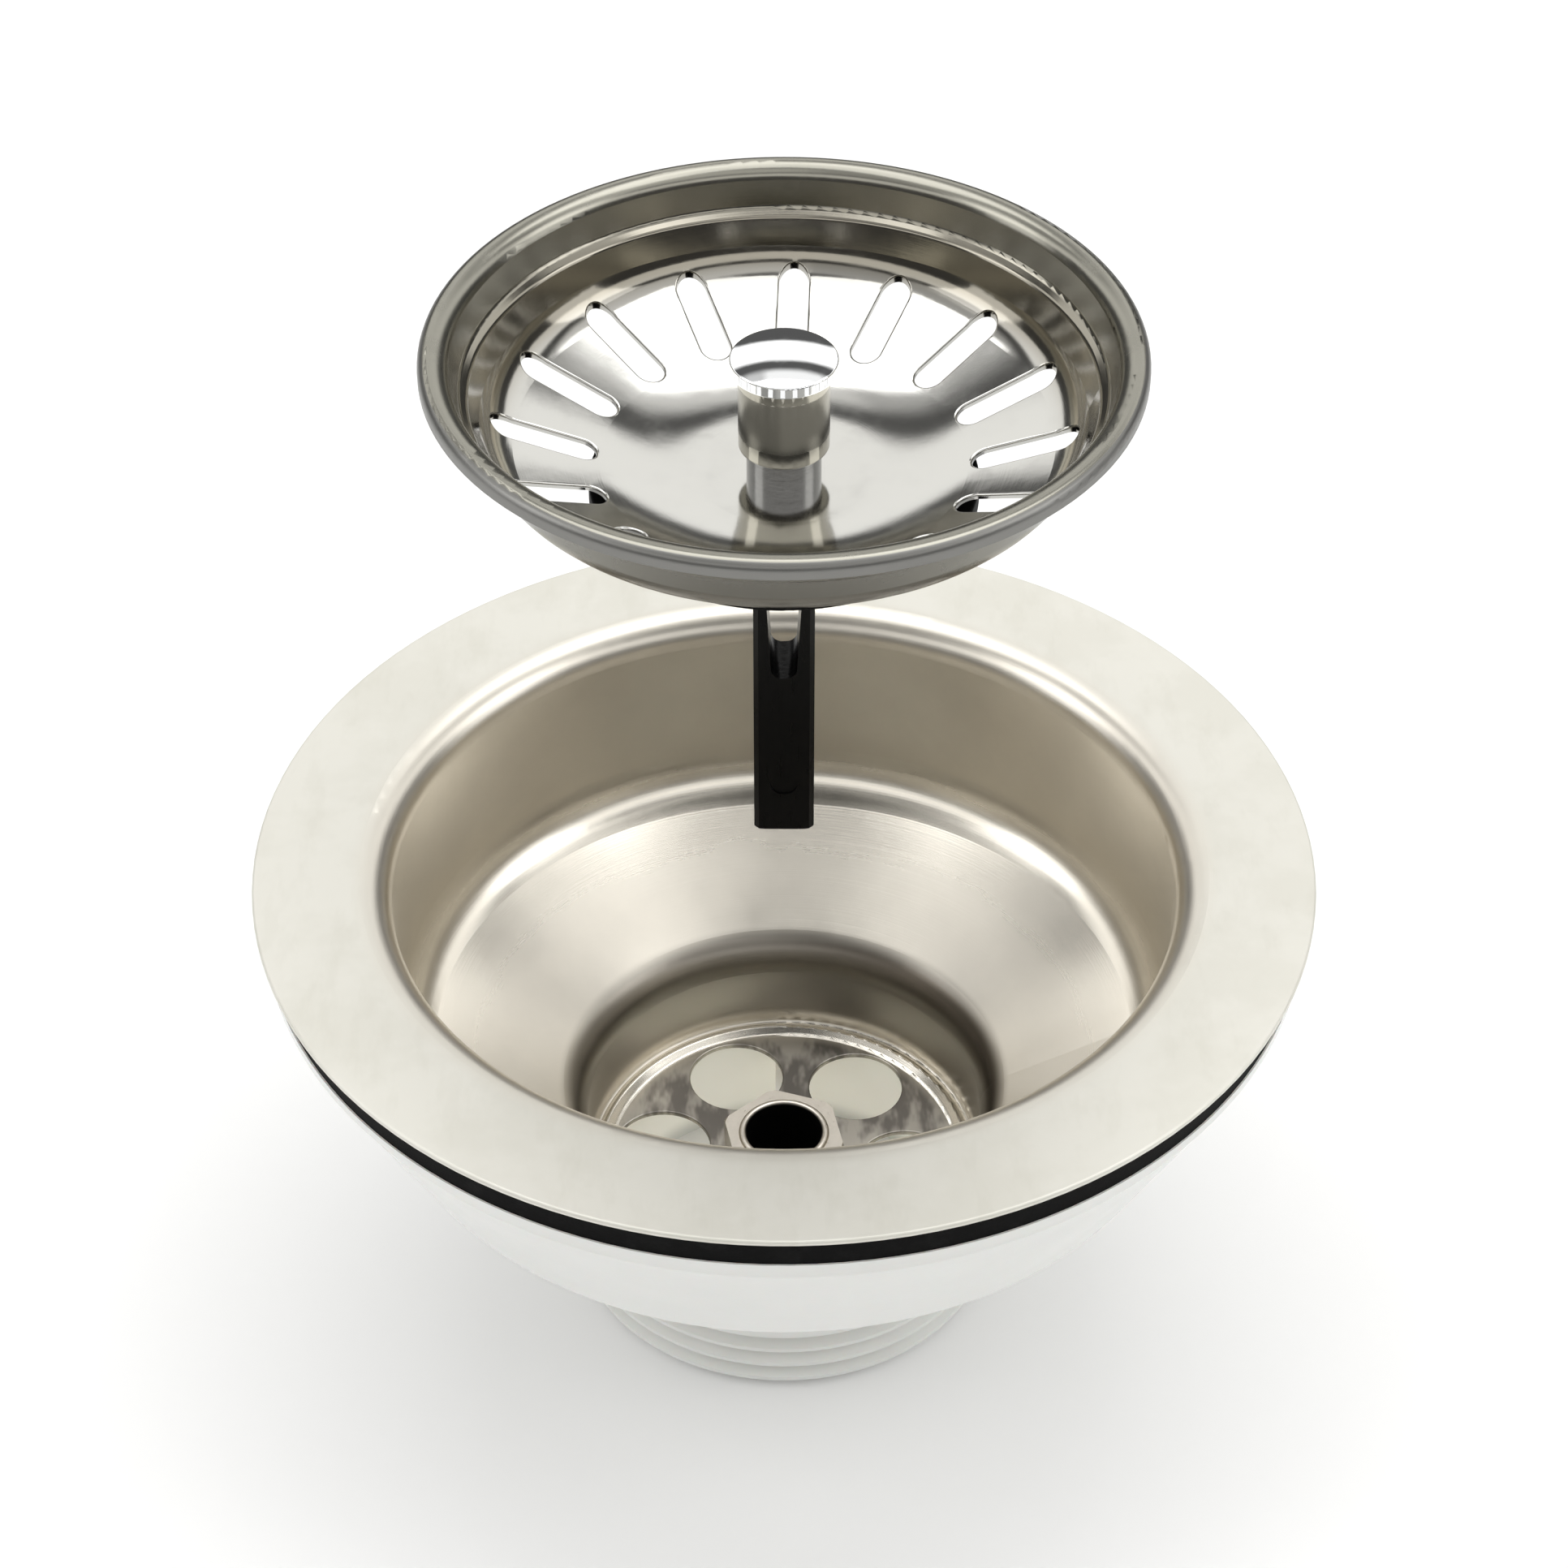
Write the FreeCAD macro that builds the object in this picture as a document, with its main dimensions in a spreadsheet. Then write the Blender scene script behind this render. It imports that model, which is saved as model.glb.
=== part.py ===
import FreeCAD, Part
import math
import os
import re
import Sketcher

# A kitchen-sink basket strainer, drawn with its basket lifted clear of the waste. Millimetres, +Z up.
# The origin is the centre of the outlet's lower end. Waste parts are measured down from the top of the
# flange. Basket parts are drawn above the tip of their stem and then placed over the waste.

SIZES = [
    # the pressed steel bowl
    ("flange_top", 58.1, "height of the flange's upper face above the outlet's lower end"),
    ("flange_radius", 57.0, "outside radius of the flange"),
    ("bowl_sheet", 0.5, "thickness of the bowl's steel"),
    ("flange_edge", 0.3, "rounding of the flange's outer edge"),
    ("bowl_radius", 42.2, "inside radius of the bowl's wall"),
    ("bowl_lip", 3.4, "rounding from the flange into the bowl"),
    ("bowl_depth", 23.3, "depth at which the wall meets the funnel"),
    ("bowl_foot", 6.5, "rounding from the wall into the funnel"),
    ("funnel_drop", 10.8, "fall of the funnel from the wall to the throat"),
    ("throat_radius", 22.2, "inside radius of the throat and the well"),
    ("throat_round", 5.0, "rounding from the funnel into the throat"),
    ("plate_depth", 45.1, "depth of the perforated plate's upper face"),
    ("bead_height", 0.7, "how far the bead round the plate stands up"),
    ("bead_width", 1.1, "from the well's wall to the bead's crest"),
    ("groove_round", 0.4, "rounding of the groove between the bead and the well's wall"),
    ("plate_hole", 5.42, "radius of each drain hole"),
    ("plate_pitch", 14.0, "radius of the circle that the drain holes lie on"),
    ("plate_turn", 53.4, "angle of the first drain hole"),
    ("hole_edge", 0.15, "rounding of the drain holes' upper edges"),
    # gaskets
    ("gasket_inner", 46.8, "inside radius of both flange gaskets"),
    ("gasket_outer", 55.8, "outside radius of both flange gaskets"),
    ("upper_gasket", 1.8, "thickness of the gasket under the flange"),
    ("lower_gasket", 2.0, "thickness of the gasket on the cup"),
    ("seat_seal", 1.8, "thickness of the seal under the well"),
    ("seal_inset", 0.8, "how far the well's seal reaches inside the well's wall"),
    ("seal_gap", 0.15, "gap round the well's seal"),
    ("seal_slack", 0.01, "gap between the well's seal and the groove above it"),
    # the moulded cup
    ("cup_radius", 56.0, "outside radius of the cup's rim"),
    ("rim_thick", 1.0, "thickness of the cup's rim"),
    ("rim_step", 1.2, "how far the rim overhangs the cup's wall"),
    ("band_height", 2.0, "height of the straight band under the rim"),
    ("cup_wall", 3.2, "thickness of the cup's wall, measured across"),
    ("rim_inset", 1.0, "how much thicker the wall is at the band than below it"),
    ("cup_foot", 45.5, "outside radius at the cup's lower edge"),
    ("cup_height", 21.0, "height of the cup from its lower edge to its rim's top"),
    ("foot_inset", 3.5, "how far the edge under the cup turns inwards"),
    ("foot_drop", 2.4, "how far the edge under the cup turns down"),
    ("cup_floor", 1.5, "thickness of the cup's sloping floor where it meets the housing"),
    ("bowl_gap", 0.75, "gap between the bowl and the cup"),
    ("corner_inset", 1.6, "from the bowl's wall in to the corner of the cup's inner floor"),
    ("corner_drop", 2.9, "from the foot of the bowl's wall down to that corner"),
    ("floor_gap", 0.4, "how far the cup's inner floor lies below the foot of the bowl's funnel"),
    ("housing_wall", 2.9, "wall of the housing round the well"),
    ("shoulder_rise", 0.3, "height of the housing's lower edge above the seal's ledge"),
    ("shoulder_drop", 1.9, "from the seal's ledge down to the outlet's upper end"),
    ("spigot_radius", 23.9, "outside radius of the outlet's thread"),
    ("thread_root", 22.42, "radius at the bottom of the outlet's thread"),
    ("thread_pitch", 2.309, "pitch of the outlet's thread"),
    ("thread_crest", 0.5, "width of the flat on each thread crest"),
    ("thread_start", 1.3, "height of the lead-in under the thread"),
    ("spigot_bore", 20.2, "inside radius of the outlet"),
    ("boss_radius", 8.6, "outside radius of the cup's centre boss"),
    ("boss_foot", 1.6, "height of the boss's lower end"),
    ("boss_gap", 0.25, "gap between the boss and the plate"),
    ("rib_thick", 2.0, "thickness of each rib that holds the boss"),
    ("rib_foot", 2.4, "height of the ribs' lower edge"),
    ("rib_top", 9.4, "height of the ribs' upper edge"),
    # the hollow clamp bolt and its nut
    ("bolt_shank", 5.5, "radius of the bolt's shank"),
    ("bolt_wall", 1.19, "wall of the bolt's tube"),
    ("bolt_flats", 12.5, "width of the bolt's head across its flats"),
    ("bolt_head", 3.6, "height of the bolt's head"),
    ("bolt_collar", 0.4, "height of the rounded collar round the bore"),
    ("bolt_collar_width", 0.85, "width of the rounded collar round the bore"),
    ("bolt_collar_round", 0.38, "rounding of the collar"),
    ("bolt_corner", 7.3, "radius that the head's corners are turned down to"),
    ("bolt_crown", 6.9, "radius of the head's flat top"),
    ("bolt_bevel", 0.4, "height of the bevel on the head's corners"),
    ("bolt_tip", 0.4, "bevel on the bolt's lower end"),
    ("bolt_turn", 41.6, "angle of the head's first corner"),
    ("bolt_foot", 1.9, "height of the bolt's lower end"),
    ("bolt_play", 0.15, "gap between the bolt and the holes it passes through"),
    ("nut_flats", 13.0, "width of the captive nut across its flats"),
    ("nut_height", 5.0, "height of the captive nut"),
    ("thread_play", 0.03, "gap between the bolt and the nut's thread"),
    ("pocket_play", 0.06, "gap between the nut and its pocket"),
    # the basket
    ("basket_gap", 6.0, "height of the lifted stem's tip above the flange"),
    ("stem_reach", 45.0, "from the stem's tip up to the dish's floor"),
    ("dish_sheet", 0.55, "thickness of the dish's steel"),
    ("dish_radius", 35.7, "outside radius of the dish's rim"),
    ("dish_depth", 14.9, "depth of the dish"),
    ("floor_radius", 13.8, "radius at which the dish's flat floor and its slope meet"),
    ("floor_round", 30.0, "rounding from the flat floor into the slope"),
    ("slope_radius", 29.15, "radius at which the dish's slope and wall meet"),
    ("slope_rise", 5.05, "height of that meeting above the flat floor"),
    ("slope_round", 5.0, "rounding from the slope into the wall"),
    ("ledge_radius", 31.0, "radius of the ledge's inner side"),
    ("ledge_depth", 4.8, "depth of the ledge's inner side"),
    ("ledge_width", 0.9, "width of the ledge"),
    ("ledge_rise", 0.6, "rise of the ledge"),
    ("ledge_round", 0.75, "rounding on each side of the ledge"),
    ("lip_width", 2.7, "width of the dish's flat lip"),
    ("lip_round", 1.8, "rounding from the lip into the wall"),
    ("lip_edge", 1.0, "rounding of the lip's outer edge"),
    ("lip_hem", 1.7, "height of the dish's turned-down edge"),
    ("slot_count", 16, "number of slots in the dish"),
    ("slot_width", 3.1, "width of each slot"),
    ("slot_inner", 18.7, "radius at the slots' inner ends"),
    ("slot_outer", 29.1, "radius at the slots' outer ends"),
    ("slot_turn", 87.8, "angle of the first slot"),
    ("slot_edge", 0.25, "rounding of the slots' upper edges"),
    ("spindle_radius", 2.0, "radius of the screw through the basket"),
    ("spindle_play", 0.06, "gap round the screw"),
    ("spindle_reach", 9.6, "how far the screw goes below the dish's floor"),
    ("spindle_end", 0.4, "gap under the end of the screw"),
    ("plug_thick", 2.3, "thickness of the basket's rubber seal"),
    ("plug_radius", 19.5, "outside radius of the basket's rubber seal"),
    ("plug_edge", 0.3, "rounding of the seal's edges"),
    ("washer_radius", 9.0, "radius of the washer under the seal"),
    ("washer_thick", 0.8, "thickness of the washer under the seal"),
    ("collar_radius", 6.6, "radius of the collar on top of the stem"),
    ("collar_height", 1.5, "height of the collar on top of the stem"),
    ("stem_width", 6.3, "width of the square stem"),
    ("stem_bevel", 0.5, "bevel on the stem's long edges"),
    ("tip_bevel", 0.8, "bevel round the stem's tip"),
    ("window_top", 33.7, "height of the window's upper end above the tip"),
    ("window_foot", 21.0, "height of the window's lower end above the tip"),
    ("window_wide", 3.9, "width of the window at its top"),
    ("window_narrow", 2.6, "width of the window at its foot"),
    ("window_round", 1.2, "rounding of the window's foot"),
    ("mark_radius", 1.5, "radius of the round mark near the tip"),
    ("mark_height", 7.0, "height of the round mark's centre above the tip"),
    ("mark_depth", 0.2, "depth of the round mark"),
    ("notch_width", 4.4, "width of the arched notch in the tip"),
    ("notch_height", 1.8, "height of the arched notch in the tip"),
    ("notch_round", 1.5, "rounding of the notch's upper corners"),
    ("notch_depth", 0.35, "depth of the arched notch in the tip"),
    # the knob
    ("column_radius", 3.75, "radius of the knob's column"),
    ("sleeve_radius", 4.55, "radius of the knob's sleeve"),
    ("sleeve_foot", 3.2, "height of the sleeve's lower end above the dish's floor"),
    ("sleeve_top", 11.85, "height of the sleeve's upper end above the dish's floor"),
    ("cap_radius", 5.38, "radius of the knob's cap"),
    ("cap_bevel", 0.35, "height of the bevel under the cap"),
    ("cap_edge", 1.2, "height of the cap's straight edge"),
    ("cap_rise", 0.6, "rise of the cap's domed top"),
    ("cap_dome", 23.0, "rounding of the cap's domed top"),
    ("cap_bite", 3.0, "how far the cap's shank reaches into the sleeve"),
    ("cap_corner", 0.15, "rounding under the cap's edge"),
    ("cap_shoulder", 0.2, "rounding over the cap's edge"),
    ("sleeve_edge", 0.2, "rounding of the sleeve's lower edge"),
    ("sleeve_play", 0.05, "gap between the sleeve and what it fits over"),
    ("cap_gap", 0.1, "gap above the column and above the screw, inside the cap"),
]

doc = FreeCAD.newDocument("basket_strainer")
sheet = doc.addObject("Spreadsheet::Sheet", "Sizes")
for row, (alias, number, meaning) in enumerate(SIZES, start=1):
    sheet.set("A%d" % row, alias)
    sheet.set("B%d" % row, str(number))
    sheet.set("C%d" % row, meaning)
    sheet.setAlias("B%d" % row, alias)
doc.recompute()

FUNCTIONS = ("sin", "cos", "tan", "sqrt", "deg")


def full(text):
    """The expression with every size read from the sheet."""
    def name(match):
        word = match.group(0)
        return word if word in FUNCTIONS else "Sizes." + word
    return re.sub(r"[A-Za-z_][A-Za-z_0-9]*", name, text)


def value(text):
    return float(sheet.evalExpression(full(text)))


def bind(thing, **sizes):
    """Ties properties to expressions on the sheet; a double underscore stands for a dot."""
    for prop, text in sizes.items():
        thing.setExpression(prop.replace("__", "."), full(text))
    return thing


def place(thing, axis, text):
    """Ties one coordinate of a piece's place to the sheet."""
    thing.setExpression("Placement.Base." + axis, full(text))
    return thing


def turn(thing, text):
    """Ties a piece's turn about Z to the sheet."""
    thing.Placement = FreeCAD.Placement(FreeCAD.Vector(), FreeCAD.Vector(0, 0, 1), 1)
    thing.setExpression("Placement.Rotation.Angle", full("(%s) * 1 deg" % text))
    return thing


# ---------------------------------------------------------------- sketches

def rounded(corners, closed):
    """Start and end points of the straight stretches, and the arcs between them."""
    points = [(value(x), value(z)) for x, z, r in corners]
    radii = [value(r) if r else 0.0 for x, z, r in corners]
    count = len(points)
    arcs = {}
    for i in range(count):
        if not radii[i]:
            continue
        here = points[i]
        legs = []
        for other in (points[i - 1], points[(i + 1) % count]):
            dx, dz = other[0] - here[0], other[1] - here[1]
            length = math.hypot(dx, dz)
            legs.append((dx / length, dz / length))
        (ax, az), (bx, bz) = legs
        half = math.acos(max(-1.0, min(1.0, ax * bx + az * bz))) / 2
        reach = radii[i] / math.tan(half)
        start = (here[0] + ax * reach, here[1] + az * reach)
        end = (here[0] + bx * reach, here[1] + bz * reach)
        mx, mz = ax + bx, az + bz
        far = radii[i] / math.sin(half) / math.hypot(mx, mz)
        centre = (here[0] + mx * far, here[1] + mz * far)
        arcs[i] = (start, end, centre, radii[i], ax * bz - az * bx < 0)
    spans = []
    for i in range(count if closed else count - 1):
        j = (i + 1) % count
        spans.append((arcs[i][1] if i in arcs else points[i], arcs[j][0] if j in arcs else points[j]))
    return points, arcs, spans


def locate(sketch, geometry, end, x, z):
    """Holds one point of a sketch at two expressions."""
    if x == "0":
        sketch.addConstraint(Sketcher.Constraint("PointOnObject", geometry, end, -2))
    else:
        number = sketch.addConstraint(Sketcher.Constraint("DistanceX", -1, 1, geometry, end, value(x)))
        sketch.setExpression("Constraints[%d]" % number, full(x))
    if z == "0":
        sketch.addConstraint(Sketcher.Constraint("PointOnObject", geometry, end, -1))
    else:
        number = sketch.addConstraint(Sketcher.Constraint("DistanceY", -1, 1, geometry, end, value(z)))
        sketch.setExpression("Constraints[%d]" % number, full(z))


def draw(sketch, corners, closed=True):
    """Draws corners of (across, up, rounding) as lines and tangent arcs held by the sheet's sizes."""
    points, arcs, spans = rounded(corners, closed)
    vector = FreeCAD.Vector
    lines = [sketch.addGeometry(Part.LineSegment(vector(*a, 0), vector(*b, 0))) for a, b in spans]
    for i, (x, z, r) in enumerate(corners):
        before = lines[i - 1] if (closed or i > 0) else None
        after = lines[i] if i < len(lines) else None
        if i in arcs:
            start, end, centre, radius, left = arcs[i]
            angles = [math.atan2(p[1] - centre[1], p[0] - centre[0]) for p in (start, end)]
            circle = Part.Circle(vector(*centre, 0), vector(0, 0, 1), radius)
            first, last = (angles[0], angles[1]) if left else (angles[1], angles[0])
            arc = sketch.addGeometry(Part.ArcOfCircle(circle, first, last))
            into, out = (1, 2) if left else (2, 1)
            sketch.addConstraint(Sketcher.Constraint("Tangent", before, 2, arc, into))
            sketch.addConstraint(Sketcher.Constraint("Tangent", arc, out, after, 1))
            number = sketch.addConstraint(Sketcher.Constraint("Radius", arc, radius))
            sketch.setExpression("Constraints[%d]" % number, full(r))
            corner = sketch.addGeometry(Part.Point(vector(*points[i], 0)), True)
            sketch.addConstraint(Sketcher.Constraint("PointOnObject", corner, 1, before))
            sketch.addConstraint(Sketcher.Constraint("PointOnObject", corner, 1, after))
            locate(sketch, corner, 1, x, z)
            continue
        if before is not None and after is not None:
            sketch.addConstraint(Sketcher.Constraint("Coincident", before, 2, after, 1))
        if after is not None:
            locate(sketch, after, 1, x, z)
        else:
            locate(sketch, before, 2, x, z)
    return sketch


def body_sketch(body, name, plane):
    """An empty sketch on one of the body's own origin planes."""
    sketch = body.newObject("Sketcher::SketchObject", name)
    base = [f for f in body.Origin.OriginFeatures if f.Role == plane][0]
    sketch.AttachmentSupport = [(base, "")]
    sketch.MapMode = "FlatFace"
    return sketch


def upright_sketch(name):
    """An empty sketch in the XZ plane."""
    sketch = doc.addObject("Sketcher::SketchObject", name)
    sketch.Placement = FreeCAD.Placement(FreeCAD.Vector(), FreeCAD.Vector(1, 0, 0), 90)
    return sketch


# ---------------------------------------------------------------- ways of making a piece

def turned(name, corners):
    """A piece made on a lathe: its half section turned about Z."""
    body = doc.addObject("PartDesign::Body", name)
    sketch = draw(body_sketch(body, name + "_section", "XZ_Plane"), corners)
    solid = body.newObject("PartDesign::Revolution", name + "_turning")
    solid.Profile = sketch
    solid.ReferenceAxis = (sketch, ["V_Axis"])
    solid.Angle = 360
    body.Tip = solid
    return body


def pressed(name, corners, thickness):
    """A sheet-metal pressing: its upper face's section, thickened downwards and turned about Z."""
    sketch = draw(upright_sketch(name + "_face"), corners, closed=False)
    section = doc.addObject("Part::Offset2D", name + "_section")
    section.Source = sketch
    section.Mode = "Skin"
    section.Join = "Intersection"
    section.Fill = True
    bind(section, Value=thickness)
    solid = doc.addObject("Part::Revolution", name + "_pressing")
    solid.Source = section
    solid.Axis = (0, 0, 1)
    solid.Base = (0, 0, 0)
    solid.Angle = 360
    solid.Solid = True
    return solid


def cut(name, base, tools):
    """The base with every tool taken out of it."""
    tool = tools[0]
    if len(tools) > 1:
        tool = doc.addObject("Part::MultiFuse", name + "_tools")
        tool.Shapes = tools
    result = doc.addObject("Part::Cut", name)
    result.Base = base
    result.Tool = tool
    return result


def around(make, name, count, first):
    """Tools spaced evenly about Z; make builds one and the sheet turns it."""
    tools = []
    for i in range(count):
        tools.append(turn(make("%s_%d" % (name, i + 1)), "%s + %d * 360 / %d" % (first, i, count)))
    return tools


def circles_at(shape, radius, height, off_axis="0"):
    """Numbers of the round edges with this radius and height whose centres are this far off the axis."""
    wanted = (value(radius), value(height), value(off_axis))
    found = []
    for number, edge in enumerate(shape.Edges, start=1):
        if isinstance(edge.Curve, Part.Circle):
            centre = edge.Curve.Center
            measured = (edge.Curve.Radius, centre.z, math.hypot(centre.x, centre.y))
            if all(abs(a - b) < 0.01 for a, b in zip(measured, wanted)):
                found.append(number)
    return found


def fillet(name, base, numbers, radius):
    """The base with these edges rounded."""
    result = doc.addObject("Part::Fillet", name)
    result.Base = base
    result.Edges = [(number, value(radius), value(radius)) for number in numbers]
    return result


def extruded(name, sketch, direction, length):
    """A sketch's outline drawn out along a direction."""
    solid = doc.addObject("Part::Extrusion", name)
    solid.Base = sketch
    solid.Dir = direction
    solid.Solid = True
    return bind(solid, LengthFwd=length)


def hexagon(name, flats, height):
    """A hexagonal bar with this width across its flats."""
    bar = doc.addObject("Part::Prism", name)
    bar.Polygon = 6
    return bind(bar, Circumradius="(%s) / sqrt(3)" % flats, Height=height)


# ---------------------------------------------------------------- the waste: steel bowl and gaskets

def strainer_bowl():
    """Flange, wall, funnel, well and perforated plate, pressed from one sheet."""
    funnel_foot = "flange_top - bowl_depth - funnel_drop"
    plate = "flange_top - plate_depth"
    face = [
        ("bolt_shank + bolt_play", plate, None),
        ("throat_radius - 2 * bead_width", plate, "2 * bowl_sheet"),
        ("throat_radius - bead_width", plate + " + bead_height", "bowl_sheet"),
        ("throat_radius", plate + " + bead_height - bead_width", "groove_round"),
        ("throat_radius", funnel_foot, "throat_round"),
        ("bowl_radius", "flange_top - bowl_depth", "bowl_foot"),
        ("bowl_radius", "flange_top", "bowl_lip"),
        ("flange_radius", "flange_top", None),
    ]
    pressing = pressed("bowl", face, "-bowl_sheet")
    doc.recompute()
    rim = circles_at(pressing.Shape, "flange_radius", "flange_top")
    blank = fillet("bowl_blank", pressing, rim, "flange_edge")

    def hole(name):
        """One drain hole on the X axis, as a tool."""
        sketch = doc.addObject("Sketcher::SketchObject", name + "_circle")
        sketch.addGeometry(Part.Circle(FreeCAD.Vector(value("plate_pitch"), 0, 0),
                                       FreeCAD.Vector(0, 0, 1), value("plate_hole")))
        sketch.addConstraint(Sketcher.Constraint("PointOnObject", 0, 3, -1))
        along = Sketcher.Constraint("DistanceX", -1, 1, 0, 3, value("plate_pitch"))
        sketch.setExpression("Constraints[%d]" % sketch.addConstraint(along), full("plate_pitch"))
        size = Sketcher.Constraint("Radius", 0, value("plate_hole"))
        sketch.setExpression("Constraints[%d]" % sketch.addConstraint(size), full("plate_hole"))
        return extruded(name, sketch, (0, 0, 1), "flange_top")

    pierced = cut("bowl_pierced", blank, around(hole, "drain_hole", 6, "plate_turn"))
    doc.recompute()
    rims = circles_at(pierced.Shape, "plate_hole", plate, "plate_pitch")
    fillet("strainer_bowl", pierced, rims, "hole_edge")


def ring(name, inner, outer, foot, height):
    """A flat ring or washer."""
    top = "%s + %s" % (foot, height)
    return turned(name, [(inner, foot, None), (outer, foot, None), (outer, top, None), (inner, top, None)])


LEDGE = ("flange_top - plate_depth + bead_height - bead_width + sqrt(2) * groove_round"
         " - bowl_sheet - seal_slack - seat_seal")


def waste_gaskets():
    """The two gaskets that a sink is clamped between, and the seal under the well's groove."""
    under_flange = "flange_top - bowl_sheet - upper_gasket"
    ring("flange_gasket", "gasket_inner", "gasket_outer", under_flange, "upper_gasket")
    ring("rim_gasket", "gasket_inner", "gasket_outer", under_flange + " - lower_gasket", "lower_gasket")
    outer = "throat_radius + bowl_sheet + bowl_gap - seal_gap"
    ring("well_seal", "throat_radius - seal_inset", outer, LEDGE, "seat_seal")


# ---------------------------------------------------------------- the waste: moulded cup

def thread_corners(turns):
    """Crests and roots of the outlet's thread, from its lower end up."""
    corners = [("thread_root", "0", None), ("spigot_radius", "thread_start", None)]
    for i in range(turns):
        foot = "thread_start + %d * thread_pitch" % i
        corners += [
            ("spigot_radius", foot + " + thread_crest", None),
            ("thread_root", foot + " + thread_pitch / 2", None),
            ("thread_root", foot + " + thread_pitch / 2 + thread_crest", None),
            ("spigot_radius", foot + " + thread_pitch", None),
        ]
    return corners


def waste_cup():
    """Cup, sloping floor, well housing and threaded outlet, with a boss on four ribs for the bolt."""
    cup_top = "flange_top - bowl_sheet - upper_gasket - lower_gasket"
    wall_foot = "flange_top - bowl_depth"
    housing = "throat_radius + bowl_sheet + bowl_gap"
    inner_floor = "flange_top - bowl_depth - funnel_drop - bowl_sheet - floor_gap"
    corners = [("spigot_bore", "0", None)]
    corners += thread_corners(3)
    corners += [
        ("spigot_radius", LEDGE + " - shoulder_drop", None),
        (housing + " + housing_wall", LEDGE + " + shoulder_rise", None),
        (housing + " + housing_wall", inner_floor + " - cup_floor", None),
        ("cup_foot - foot_inset", cup_top + " - cup_height - foot_drop", None),
        ("cup_foot", cup_top + " - cup_height", None),
        ("cup_radius - rim_step", cup_top + " - rim_thick - band_height", None),
        ("cup_radius - rim_step", cup_top + " - rim_thick", None),
        ("cup_radius", cup_top + " - rim_thick", None),
        ("cup_radius", cup_top, None),
        ("cup_radius - rim_step - cup_wall - rim_inset", cup_top, None),
        ("cup_radius - rim_step - cup_wall - rim_inset", cup_top + " - rim_thick - band_height", None),
        ("bowl_radius + bowl_sheet + bowl_gap", wall_foot + " + bowl_sheet", None),
        ("bowl_radius - corner_inset", wall_foot + " - corner_drop", None),
        (housing, inner_floor, None),
        (housing, LEDGE, None),
        ("throat_radius - seal_inset - seal_gap", LEDGE, None),
        ("throat_radius - seal_inset - seal_gap", "flange_top - plate_depth - bowl_sheet - boss_gap", None),
        ("spigot_bore", "flange_top - plate_depth - bowl_sheet - boss_gap", None),
    ]
    body = turned("cup_moulding", corners)
    doc.recompute()
    rib = draw(body_sketch(body, "rib_section", "XZ_Plane"), [
        ("boss_radius - rib_thick / 2", "rib_foot", None),
        ("spigot_bore + rib_thick / 2", "rib_foot", None),
        ("spigot_bore + rib_thick / 2", "rib_top", None),
        ("boss_radius - rib_thick / 2", "rib_top", None),
    ])
    pad = body.newObject("PartDesign::Pad", "rib")
    pad.Profile = rib
    pad.Midplane = True
    bind(pad, Length="rib_thick")
    doc.recompute()
    ribs = body.newObject("PartDesign::PolarPattern", "ribs")
    ribs.Originals = [pad]
    ribs.Axis = ([f for f in body.Origin.OriginFeatures if f.Role == "Z_Axis"][0], [""])
    ribs.Angle = 360
    ribs.Occurrences = 4
    body.Tip = ribs
    doc.recompute()
    hole = "bolt_shank + bolt_play"
    boss_top = "flange_top - plate_depth - bowl_sheet - boss_gap"
    boss = body.newObject("PartDesign::Revolution", "boss")
    boss.Profile = draw(body_sketch(body, "boss_section", "XZ_Plane"), [
        (hole, "boss_foot", None),
        ("boss_radius", "boss_foot", None),
        ("boss_radius", boss_top, None),
        (hole, boss_top, None),
    ])
    boss.ReferenceAxis = (boss.Profile[0], ["V_Axis"])
    boss.Angle = 360
    body.Tip = boss
    pocket = hexagon("nut_pocket", "nut_flats + 2 * pocket_play", "boss_foot + nut_height")
    cut("waste_cup", body, [pocket])


# ---------------------------------------------------------------- the waste: bolt and nut

def clamp_bolt():
    """The hollow hexagon bolt that holds the bowl down on the cup; the basket's stem slides in its bore."""
    seat = "flange_top - plate_depth"
    top = seat + " + bolt_head"
    bore = "bolt_shank - bolt_wall"
    blank = turned("bolt_blank", [
        (bore, "bolt_foot", None),
        ("bolt_shank - bolt_tip", "bolt_foot", None),
        ("bolt_shank", "bolt_foot + bolt_tip", None),
        ("bolt_shank", seat, None),
        ("bolt_corner", seat, None),
        ("bolt_corner", top + " - bolt_bevel", None),
        ("bolt_crown", top, None),
        (bore + " + bolt_collar_width", top, None),
        (bore + " + bolt_collar_width", top + " + bolt_collar", "bolt_collar_round"),
        (bore, top + " + bolt_collar", "bolt_collar_round"),
    ])
    bolt = doc.addObject("Part::Common", "clamp_bolt")
    bolt.Base = blank
    bolt.Tool = turn(hexagon("bolt_bar", "bolt_flats", "flange_top"), "bolt_turn")


def captive_nut():
    """The brass nut held in the boss, pushed in from below."""
    bar = place(hexagon("nut_bar", "nut_flats", "nut_height"), "z", "boss_foot")
    hole = doc.addObject("Part::Cylinder", "nut_hole")
    bind(hole, Radius="bolt_shank + thread_play", Height="flange_top")
    cut("captive_nut", bar, [hole])


# ---------------------------------------------------------------- the basket

TIP = "flange_top + basket_gap"
FLOOR = "stem_reach"


def lifted(piece):
    """Raises a basket piece so that the stem's tip clears the waste."""
    return place(piece, "z", TIP)


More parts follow.
